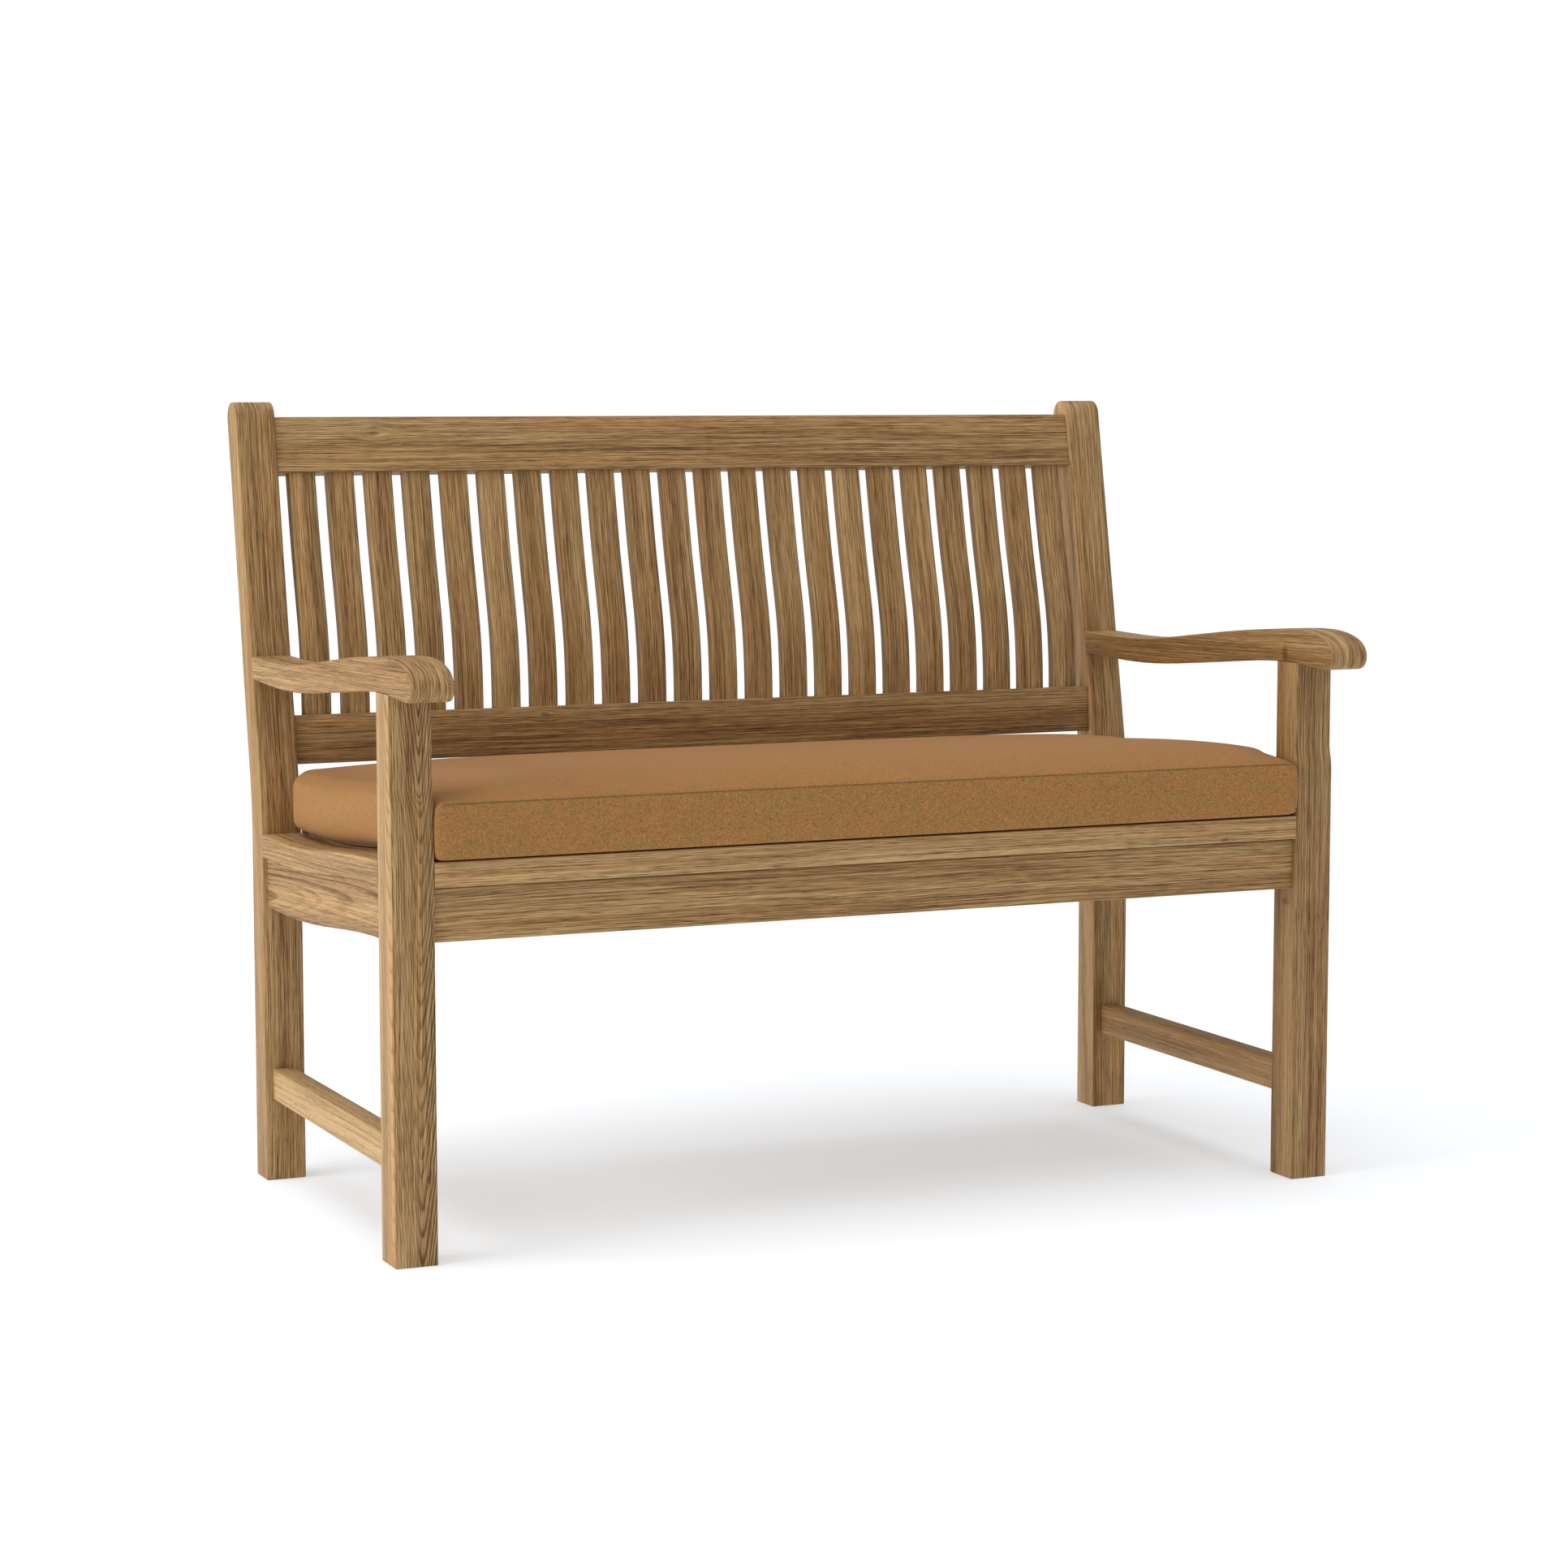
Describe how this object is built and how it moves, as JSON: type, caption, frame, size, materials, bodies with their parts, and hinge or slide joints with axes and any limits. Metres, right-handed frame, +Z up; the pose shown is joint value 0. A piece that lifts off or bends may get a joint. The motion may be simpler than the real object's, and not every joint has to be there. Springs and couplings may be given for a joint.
{
  "type": "garden bench",
  "caption": "Wooden garden bench with scrolled arms, an upright slatted leaning back, a dished slatted seat and a loose woven seat cushion.",
  "frame": {"origin": "on the ground, at the centre of the bounding box's base, midway between the arms' outer faces", "axes": "+X along the bench to the sitter's left, +Y from the front of the seat to the back, +Z up"},
  "size_m": [1.22, 0.7201, 0.9653],
  "materials": {
    "teak": "oiled and sanded, satin",
    "cushion_fabric": "fine woven heather, matt",
    "cushion_foam": "open-cell foam, matt",
    "cushion_zip": "moulded coil, satin"
  },
  "bodies": {
    "bench": {"arm_left": "teak", "arm_right": "teak", "back_leg_left": "teak", "back_leg_right": "teak", "back_slat_01": "teak", "back_slat_02": "teak", "back_slat_03": "teak", "back_slat_04": "teak", "back_slat_05": "teak", "back_slat_06": "teak", "back_slat_07": "teak", "back_slat_08": "teak", "back_slat_09": "teak", "back_slat_10": "teak", "back_slat_11": "teak", "back_slat_12": "teak", "back_slat_13": "teak", "back_slat_14": "teak", "back_slat_15": "teak", "back_slat_16": "teak", "back_slat_17": "teak", "back_slat_18": "teak", "back_slat_19": "teak", "back_slat_20": "teak", "back_slat_21": "teak", "back_slat_22": "teak", "front_apron": "teak", "front_leg_left": "teak", "front_leg_right": "teak", "lower_back_rail": "teak", "rear_seat_rail": "teak", "seat_end_board_left": "teak", "seat_end_board_right": "teak", "seat_front_strip": "teak", "seat_slat_01": "teak", "seat_slat_02": "teak", "seat_slat_03": "teak", "seat_slat_04": "teak", "seat_slat_05": "teak", "seat_slat_06": "teak", "seat_slat_07": "teak", "seat_slat_08": "teak", "seat_slat_09": "teak", "seat_slat_10": "teak", "seat_slat_11": "teak", "seat_slat_12": "teak", "seat_slat_13": "teak", "seat_slat_14": "teak", "seat_slat_15": "teak", "side_apron_left": "teak", "side_apron_right": "teak", "side_stretcher_left": "teak", "side_stretcher_right": "teak", "top_back_rail": "teak"},
    "cushion": {"cushion_cover": "cushion_fabric", "cushion_foam": "cushion_foam", "cushion_zip": "cushion_zip"}
  },
  "joints": [
    {"name": "cushion_lift", "type": "slide", "parent": "bench", "child": "cushion", "axis": [0, 0, 1], "range_m": [0, 0.08]}
  ]
}
